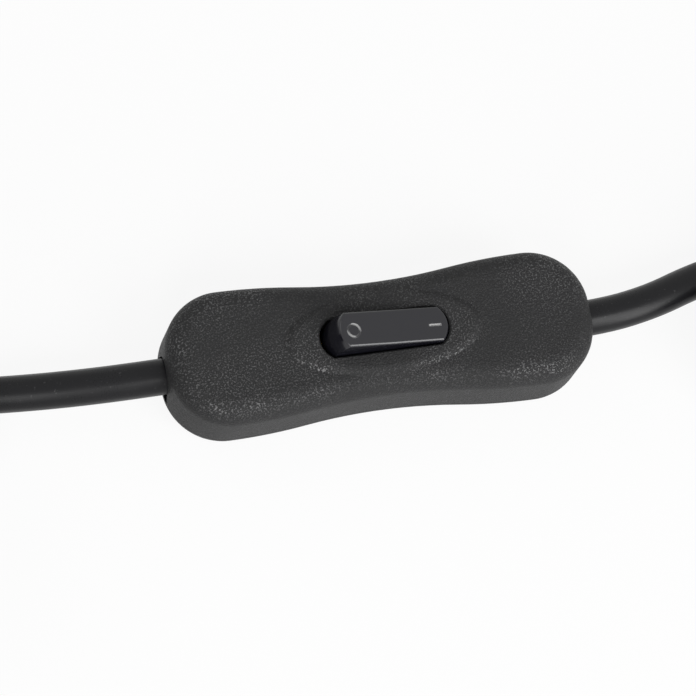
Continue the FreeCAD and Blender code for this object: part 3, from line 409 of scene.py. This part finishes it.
def makeHousingMaterial(f):
    material, tree = newMaterial("mattBlackHousing")
    touch = useGroup(tree, handling, -700, 0, Roughness=f["roughness"], **f["touch"])
    facing = addNode(tree, "ShaderNodeSeparateXYZ", -900, 300)
    link(tree, addNode(tree, "ShaderNodeNewGeometry", -1100, 300).outputs["Normal"], facing.inputs[0])
    density = ramp(tree, -700, 300, facing.outputs["Z"], f["steep"], f["level"], f["wallSpecks"], 1.0)
    grain = useGroup(tree, sparkGrain, -450, 100, Scale=f["grain"], Patches=f["patches"],
                     Color=f["color"], Speck=f["speck"], Roughness=touch["Roughness"],
                     Shine=f["shine"], Density=density)
    edge = useGroup(tree, edgeWearAndHighlight, -450, -300, **f["edge"])
    fallen = useGroup(tree, dust, -450, 400, **f["fallen"])
    split = addNode(tree, "ShaderNodeSeparateXYZ", -900, -600)
    link(tree, placeOn(tree, -1100, -600), split.inputs[0])
    above = math2(tree, -800, -600, "SUBTRACT", split.outputs["Z"], f["seamHeight"])
    away = math2(tree, -700, -600, "ABSOLUTE", above)
    line = ramp(tree, -500, -600, away, f["seamWidth"], 0.0)
    worn = mixColor(tree, -100, 200, edge["Mask"], grain["Color"], f["worn"])
    dusty = mixColor(tree, 50, 200, fallen["Mask"], worn, f["dust"])
    coat = math2(tree, 200, -100, "MULTIPLY", grain["Speck"], f["speckCoat"])
    shader = principled(tree, **{"Base Color": mixColor(tree, 200, 200, line, dusty, f["seamColor"]),
                                 "Roughness": grain["Roughness"], "Specular IOR Level": f["specular"],
                                 "Coat Weight": coat, "Coat Roughness": f["coatRoughness"]})
    bumpFrom(tree, shader, grain["Height"], f["bump"], f["bumpSize"])
    return material


# the marks lie on the rocker's face, measured along it from the pivot
rockerFinish = {
    "color": (0.008, 0.008, 0.0115, 1), "markPrintAndHighlight": (0.34, 0.34, 0.34, 1), "worn": (0.06, 0.06, 0.062, 1),
    "roughness": 0.15, "markRoughness": 0.3, "specular": 0.5,
    "touch": {"Scale": 180.0, "Amount": 0.06},
    # on the rocker the paler edge colour is partly wear and partly a painted highlight along its edges
    "edge": {"Radius": 0.0002, "Scale": 1200.0, "Amount": 0.35},
    "tilt": 11.5, "pivotHeight": 0.0126, "markPlace": 0.0072, "markSide": -0.00025,
    "barHalf": 0.00105, "ringRadius": 0.00105, "lineHalf": 0.00017, "soft": 0.00006,
    "sunk": 0.18, "ripple": 0.02, "bump": 0.6, "bumpSize": 0.001,
    "arcHighlightTurn": 47.0,      # painted highlight: the ring stays bright only at its two ends along this direction
    "markOffHighlight": 0.12, "arcHighlightStart": 0.5, "arcHighlightFull": 0.9,     # of the ring's radius
}


def makeRockerMaterial(f):
    material, tree = newMaterial("glossBlackRocker")
    tilt = math.radians(f["tilt"])
    split = addNode(tree, "ShaderNodeSeparateXYZ", -1500, 0)
    link(tree, placeOn(tree, -1700, 0), split.inputs[0])
    lift = math2(tree, -1350, -100, "SUBTRACT", split.outputs["Z"], f["pivotHeight"])
    level = math2(tree, -1350, 50, "MULTIPLY", split.outputs["X"], math.cos(tilt))
    rise = math2(tree, -1350, -250, "MULTIPLY", lift, math.sin(tilt))
    along = math2(tree, -1200, 0, "SUBTRACT", level, rise)
    across = math2(tree, -1200, -200, "SUBTRACT", split.outputs["Y"], f["markSide"])
    fromRing = math2(tree, -1050, 100, "ADD", along, f["markPlace"])
    squares = math2(tree, -900, 100, "ADD", math2(tree, -1000, 150, "POWER", fromRing, 2.0),
                    math2(tree, -1000, 0, "POWER", across, 2.0))
    fromMiddle = math2(tree, -850, 200, "SQRT", squares)
    offRing = math2(tree, -700, 100, "ABSOLUTE",
                    math2(tree, -800, 100, "SUBTRACT", fromMiddle, f["ringRadius"]))
    fromBar = math2(tree, -900, -200, "ABSOLUTE",
                    math2(tree, -1000, -200, "SUBTRACT", along, f["markPlace"]))
    pastBar = math2(tree, -800, -250, "SUBTRACT", fromBar, f["barHalf"] - f["lineHalf"])
    offBar = math2(tree, -700, -200, "MAXIMUM", pastBar, math2(tree, -850, -350, "ABSOLUTE", across))
    off = math2(tree, -550, 0, "MINIMUM", offRing, offBar)
    # painted highlight: the light grey O and I are printed, but the O stays bright only on two
    # opposite arcs, where its sunk walls would catch the light, and is dimmed elsewhere
    turn = math.radians(f["arcHighlightTurn"])
    facing = math2(tree, -700, 350, "ADD",
                   math2(tree, -800, 400, "MULTIPLY", fromRing, math.cos(turn)),
                   math2(tree, -800, 300, "MULTIPLY", across, math.sin(turn)))
    arcHighlight = ramp(tree, -450, 350, math2(tree, -600, 350, "ABSOLUTE", facing),
                f["ringRadius"] * f["arcHighlightStart"], f["ringRadius"] * f["arcHighlightFull"],
                f["markOffHighlight"], 1.0)
    markPrintAndHighlight = math2(tree, -250, 100, "MULTIPLY", arcHighlight,
                 ramp(tree, -400, 0, off, f["lineHalf"] + f["soft"], f["lineHalf"]))
    touch = useGroup(tree, handling, -400, -300, Roughness=f["roughness"], **f["touch"])
    edge = useGroup(tree, edgeWearAndHighlight, -400, -600, **f["edge"])
    # paler edges: partly wear, partly a painted highlight along the rocker's edges
    worn = mixColor(tree, -150, 200, edge["Mask"], f["color"], f["worn"])
    rough = math2(tree, 100, -100, "MULTIPLY_ADD", markPrintAndHighlight, f["markRoughness"], touch["Roughness"])
    shader = principled(tree, **{"Base Color": mixColor(tree, 100, 200, markPrintAndHighlight, worn, f["markPrintAndHighlight"]),
                                 "Roughness": rough, "Specular IOR Level": f["specular"]})
    around = ramp(tree, -400, -450, off, 0.0, f["lineHalf"])
    sunk = math2(tree, 50, -400, "MULTIPLY", around, f["sunk"])
    height = math2(tree, 150, -400, "MULTIPLY_ADD", touch["Mask"], f["ripple"], sunk)
    bumpFrom(tree, shader, height, f["bump"], f["bumpSize"])
    return material


# soft vinyl: long faint ripples, scuffs and a satin that changes along it
def makeJacketMaterial(name, f):
    material, tree = newMaterial(name)
    touch = useGroup(tree, handling, -500, 0, Roughness=f["roughness"], **f["touch"])
    fine = useGroup(tree, sparkGrain, -250, 200, Color=f["color"], Speck=f["speck"],
                    Roughness=touch["Roughness"], **f["grain"])
    edge = useGroup(tree, edgeWearAndHighlight, -500, -300, **f["edge"])
    fallen = useGroup(tree, dust, -500, 400, **f["fallen"])
    worn = mixColor(tree, 0, 200, edge["Mask"], fine["Color"], f["worn"])
    dusty = mixColor(tree, 200, 200, fallen["Mask"], worn, f["dust"])
    shader = principled(tree, **{"Base Color": dusty, "Roughness": fine["Roughness"],
                                 "Specular IOR Level": f["specular"]})
    height = math2(tree, 50, -400, "MULTIPLY_ADD", fine["Height"], f["fine"], touch["Mask"])
    bumpFrom(tree, shader, height, f["ripple"], f["bumpSize"])
    return material


jacketFinish = {
    "color": (0.006, 0.006, 0.007, 1), "speck": (0.009, 0.009, 0.01, 1),
    "worn": (0.02, 0.02, 0.022, 1), "dust": (0.18, 0.18, 0.18, 1),
    "roughness": 0.34, "specular": 0.22, "ripple": 0.07, "fine": 0.05, "bumpSize": 0.0004,
    "touch": {"Scale": 210.0, "Amount": 0.14},
    "grain": {"Scale": 5200.0, "Patches": 120.0, "Shine": 0.08},
    "edge": {"Radius": 0.0005, "Scale": 600.0, "Amount": 0.6},
    "fallen": {"Scale": 1800.0, "Amount": 0.25},
}
plugFinish = {
    "color": (0.013, 0.013, 0.0135, 1), "speck": (0.03, 0.03, 0.031, 1),
    "worn": (0.05, 0.05, 0.052, 1), "dust": (0.18, 0.18, 0.18, 1),
    "roughness": 0.47, "specular": 0.4, "ripple": 0.16, "fine": 0.6, "bumpSize": 0.0004,
    "touch": {"Scale": 120.0, "Amount": 0.14},
    "grain": {"Scale": 2600.0, "Patches": 120.0, "Shine": 0.08},
    "edge": {"Radius": 0.0005, "Scale": 600.0, "Amount": 0.6},
    "fallen": {"Scale": 1800.0, "Amount": 0.3},
}


# machined or drawn metal: fine lines one way, brighter along worn edges, dull in patches
metalFinish = {
    "touch": {"Scale": 500.0, "Amount": 0.2},
    "edge": {"Radius": 0.00015, "Scale": 1500.0, "Amount": 0.8},
    "tarnish": 0.72, "tarnishStart": 0.4, "tarnishEnd": 0.7,
    "stretch": (1.0, 6.0, 6.0), "lineRoughness": 0.12, "bumpSize": 0.00008,
}
metals = {
    "brass": {"name": "plainBrass", "color": (0.68, 0.48, 0.2, 1), "bright": (0.9, 0.7, 0.36, 1),
              "roughness": 0.28, "lines": 900.0, "depth": 0.12},
    "contact_silver": {"name": "silverContact", "color": (0.8, 0.79, 0.77, 1),
                       "bright": (0.95, 0.94, 0.92, 1), "roughness": 0.26, "lines": 900.0,
                       "depth": 0.12},
    "spring_steel": {"name": "springSteel", "color": (0.5, 0.5, 0.52, 1),
                     "bright": (0.75, 0.75, 0.77, 1), "roughness": 0.24, "lines": 1400.0,
                     "depth": 0.12},
    "screw_steel": {"name": "zincScrew", "color": (0.58, 0.59, 0.62, 1),
                    "bright": (0.8, 0.8, 0.82, 1), "roughness": 0.34, "lines": 700.0, "depth": 0.2},
    "copper": {"name": "bareCopper", "color": (0.72, 0.34, 0.19, 1), "bright": (0.93, 0.55, 0.38, 1),
               "roughness": 0.32, "lines": 1800.0, "depth": 0.25},
    "ferrule_tin": {"name": "tinnedFerrule", "color": (0.7, 0.7, 0.72, 1),
                    "bright": (0.9, 0.9, 0.91, 1), "roughness": 0.3, "lines": 800.0, "depth": 0.15},
}


def makeMetal(f):
    material, tree = newMaterial(f["name"])
    touch = useGroup(tree, handling, -500, 0, Roughness=f["roughness"], **f["touch"])
    edge = useGroup(tree, edgeWearAndHighlight, -500, -300, **f["edge"])
    stretch = addNode(tree, "ShaderNodeMapping", -800, -500)
    setInputs(stretch, Scale=f["stretch"])
    link(tree, placeOn(tree, -1000, -500), stretch.inputs["Vector"])
    drawn = addNode(tree, "ShaderNodeTexNoise", -600, -500)
    setInputs(drawn, Scale=f["lines"], Detail=3.0)
    link(tree, stretch.outputs["Vector"], drawn.inputs["Vector"])
    tarnished = tuple(c * f["tarnish"] for c in f["color"][:3]) + (1,)
    patch = ramp(tree, -250, 300, touch["Mask"], f["tarnishStart"], f["tarnishEnd"])
    dull = mixColor(tree, -100, 200, patch, f["color"], tarnished)
    rough = math2(tree, 50, -100, "MULTIPLY_ADD", drawn.outputs["Fac"], f["lineRoughness"],
                  touch["Roughness"])
    polished = mixColor(tree, 200, 200, edge["Mask"], dull, f["bright"])
    shader = principled(tree, **{"Base Color": polished, "Metallic": 1.0, "Roughness": rough})
    bumpFrom(tree, shader, drawn.outputs["Fac"], f["depth"], f["bumpSize"])
    return material


# small mouldings and core insulation: a clouded colour that pales at its edges
plasticFinish = {
    "touch": {"Scale": 300.0, "Amount": 0.16},
    "edge": {"Radius": 0.0002, "Scale": 1200.0, "Amount": 0.5},
    "deep": 0.8, "bump": 0.1, "bumpSize": 0.0002,
}
plastics = {
    "nylon": {"name": "whiteNylon", "color": (0.74, 0.73, 0.69, 1), "worn": (0.82, 0.81, 0.78, 1),
              "roughness": 0.42},
    "core_brown": {"name": "brownCore", "color": (0.12, 0.038, 0.016, 1),
                   "worn": (0.2, 0.08, 0.04, 1), "roughness": 0.4},
    "core_blue": {"name": "blueCore", "color": (0.022, 0.1, 0.42, 1), "worn": (0.06, 0.2, 0.6, 1),
                  "roughness": 0.4},
    "sleeve_plastic": {"name": "pinSleeve", "color": (0.02, 0.02, 0.021, 1),
                       "worn": (0.06, 0.06, 0.06, 1), "roughness": 0.38},
}


def makePlastic(f):
    material, tree = newMaterial(f["name"])
    touch = useGroup(tree, handling, -500, 0, Roughness=f["roughness"], **f["touch"])
    edge = useGroup(tree, edgeWearAndHighlight, -500, -300, **f["edge"])
    deep = tuple(c * f["deep"] for c in f["color"][:3]) + (1,)
    clouded = mixColor(tree, -100, 200, touch["Mask"], deep, f["color"])
    paled = mixColor(tree, 200, 200, edge["Mask"], clouded, f["worn"])
    shader = principled(tree, **{"Base Color": paled, "Roughness": touch["Roughness"]})
    bumpFrom(tree, shader, touch["Mask"], f["bump"], f["bumpSize"])
    return material


strapFinish = {
    "color": (0.012, 0.012, 0.013, 1), "thread": (0.045, 0.045, 0.047, 1),
    "lint": (0.16, 0.16, 0.16, 1),
    "threads": 620.0, "waver": 0.8, "fuzz": 2600.0, "lintStart": 0.68, "lintFull": 0.78,
    "roughness": 0.82, "sheen": 0.35, "sheenRoughness": 0.5, "specular": 0.25,
    "fuzzHeight": 0.5, "bump": 0.7, "bumpSize": 0.0002,
}


# hook-and-loop strap: threads one over the other both ways, with fuzz and a little lint
def makeStrapMaterial(f):
    material, tree = newMaterial("wovenStrap")
    place = placeOn(tree, -1000, 0)
    waves = []
    for row, direction in enumerate(("X", "DIAGONAL")):
        wave = addNode(tree, "ShaderNodeTexWave", -750, -300 * row,
                       wave_type="BANDS", bands_direction=direction)
        setInputs(wave, Scale=f["threads"], Distortion=f["waver"], Detail=2.0)
        link(tree, place, wave.inputs["Vector"])
        waves.append(wave.outputs["Fac"])
    weave = math2(tree, -500, -100, "MULTIPLY", waves[0], waves[1])
    fuzz = addNode(tree, "ShaderNodeTexNoise", -750, -650)
    setInputs(fuzz, Scale=f["fuzz"], Detail=3.0)
    link(tree, place, fuzz.inputs["Vector"])
    lint = ramp(tree, -300, 300, fuzz.outputs["Fac"], f["lintStart"], f["lintFull"])
    base = mixColor(tree, -150, 100, weave, f["color"], f["thread"])
    shader = principled(tree, **{"Base Color": mixColor(tree, 100, 100, lint, base, f["lint"]),
                                 "Roughness": f["roughness"], "Sheen Weight": f["sheen"],
                                 "Sheen Roughness": f["sheenRoughness"],
                                 "Specular IOR Level": f["specular"]})
    height = math2(tree, 0, -300, "MULTIPLY_ADD", fuzz.outputs["Fac"], f["fuzzHeight"], weave)
    bumpFrom(tree, shader, height, f["bump"], f["bumpSize"])
    return material


finishes = {
    "housing_plastic": makeHousingMaterial(housingFinish),
    "rocker_plastic": makeRockerMaterial(rockerFinish),
    "cord_jacket": makeJacketMaterial("satinJacket", jacketFinish),
    "plug_plastic": makeJacketMaterial("plugBody", plugFinish),
    "tie_strap": makeStrapMaterial(strapFinish),
}
for slot, metal in metals.items():
    finishes[slot] = makeMetal({**metalFinish, **metal})
for slot, plastic in plastics.items():
    finishes[slot] = makePlastic({**plasticFinish, **plastic})
slotOf = {part["node"]: part["material_slot"] for part in frame["record"]["subparts"]}
for node, item in frame["nodes"].items():
    if item.type == "MESH":
        item.data.materials.clear()
        item.data.materials.append(finishes[slotOf[node]])
for cord in (plugSideCord, lampSideCord):
    cord.data.materials.append(finishes["cord_jacket"])
print("materials given to", len(slotOf), "nodes")


def makeSpring():
    spring = bpy.data.objects.new("contactSpring", frame["nodes"]["plunger_spring"].data.copy())
    scene.collection.objects.link(spring)
    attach(spring, "rocker")
    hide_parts("plunger_spring")
    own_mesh(spring)


makeSpring()


# the key stands low on the near side, so the rocker's near edge and the oval's slope catch it
studio = {
    "floorColor": (0.86, 0.86, 0.86, 1), "floorRoughness": 0.9, "floorSpecular": 0.1,
    "floorSize": 6.0,
    "floorWhite": 0.9,      # the rest of the floor takes the object's shadow
    "worldStrength": 0.33,
    "key": {"place": (0.62, -0.78, 0.62), "size": (0.5, 1.2), "power": 11.6},
    "side": {"place": (-0.36, -0.92, 0.78), "size": (0.35, 0.9), "power": 6.1},
    "fill": {"place": (-0.7, 0.6, 1.0), "size": (0.8, 0.8), "power": 1.5},
}


# white wherever the lens, a shine or clear plastic looks at it
def whiteTo(tree):
    path = addNode(tree, "ShaderNodeLightPath", -300, 400).outputs
    mirrored = math2(tree, -100, 400, "MAXIMUM", path["Is Camera Ray"], path["Is Glossy Ray"])
    return math2(tree, 50, 400, "MAXIMUM", mirrored, path["Is Transmission Ray"])


def makeFloor(f):
    mesh = bpy.data.meshes.new("floor")
    h = f["floorSize"] / 2
    mesh.from_pydata([(-h, -h, 0), (h, -h, 0), (h, h, 0), (-h, h, 0)], [], [(0, 1, 2, 3)])
    floor = bpy.data.objects.new("floor", mesh)
    scene.collection.objects.link(floor)
    material, tree = newMaterial("paleFloor")
    shader = principled(tree, **{"Base Color": f["floorColor"], "Roughness": f["floorRoughness"],
                                 "Specular IOR Level": f["floorSpecular"]})
    output = next(n for n in tree.nodes if n.type == "OUTPUT_MATERIAL")
    white = addNode(tree, "ShaderNodeEmission", 300, 300)
    setInputs(white, Strength=1.0)
    mix = addNode(tree, "ShaderNodeMixShader", 650, 200)
    share = math2(tree, 200, 400, "MULTIPLY", whiteTo(tree), f["floorWhite"])
    link(tree, share, mix.inputs["Fac"])
    link(tree, shader.outputs["BSDF"], mix.inputs[1])
    link(tree, white.outputs["Emission"], mix.inputs[2])
    link(tree, mix.outputs["Shader"], output.inputs["Surface"])
    mesh.materials.append(material)


def makeLight(name, light):
    data = bpy.data.lights.new(name, "AREA")
    data.shape = "RECTANGLE"
    data.size, data.size_y = light["size"]
    data.energy = light["power"]
    item = bpy.data.objects.new(name, data)
    item.location = light["place"]
    item.rotation_euler = (-Vector(light["place"])).to_track_quat("-Z", "Y").to_euler()
    scene.collection.objects.link(item)


def makeWorld(f):
    world = bpy.data.worlds.new("studio")
    scene.world = world
    world.use_nodes = True
    tree = world.node_tree
    tree.nodes.clear()
    soft = addNode(tree, "ShaderNodeBackground", 0, 0)
    setInputs(soft, Color=(1, 1, 1, 1), Strength=f["worldStrength"])
    seen = addNode(tree, "ShaderNodeBackground", 0, -150)
    setInputs(seen, Color=(1, 1, 1, 1), Strength=1.0)
    mix = addNode(tree, "ShaderNodeMixShader", 250, 0)
    output = addNode(tree, "ShaderNodeOutputWorld", 450, 0)
    link(tree, whiteTo(tree), mix.inputs["Fac"])
    link(tree, soft.outputs[0], mix.inputs[1])
    link(tree, seen.outputs[0], mix.inputs[2])
    link(tree, mix.outputs[0], output.inputs["Surface"])


makeFloor(studio)
makeLight("keyLight", studio["key"])
makeLight("sideLight", studio["side"])
makeLight("fillLight", studio["fill"])
makeWorld(studio)
print("studio lit")

bpy.context.view_layer.update()
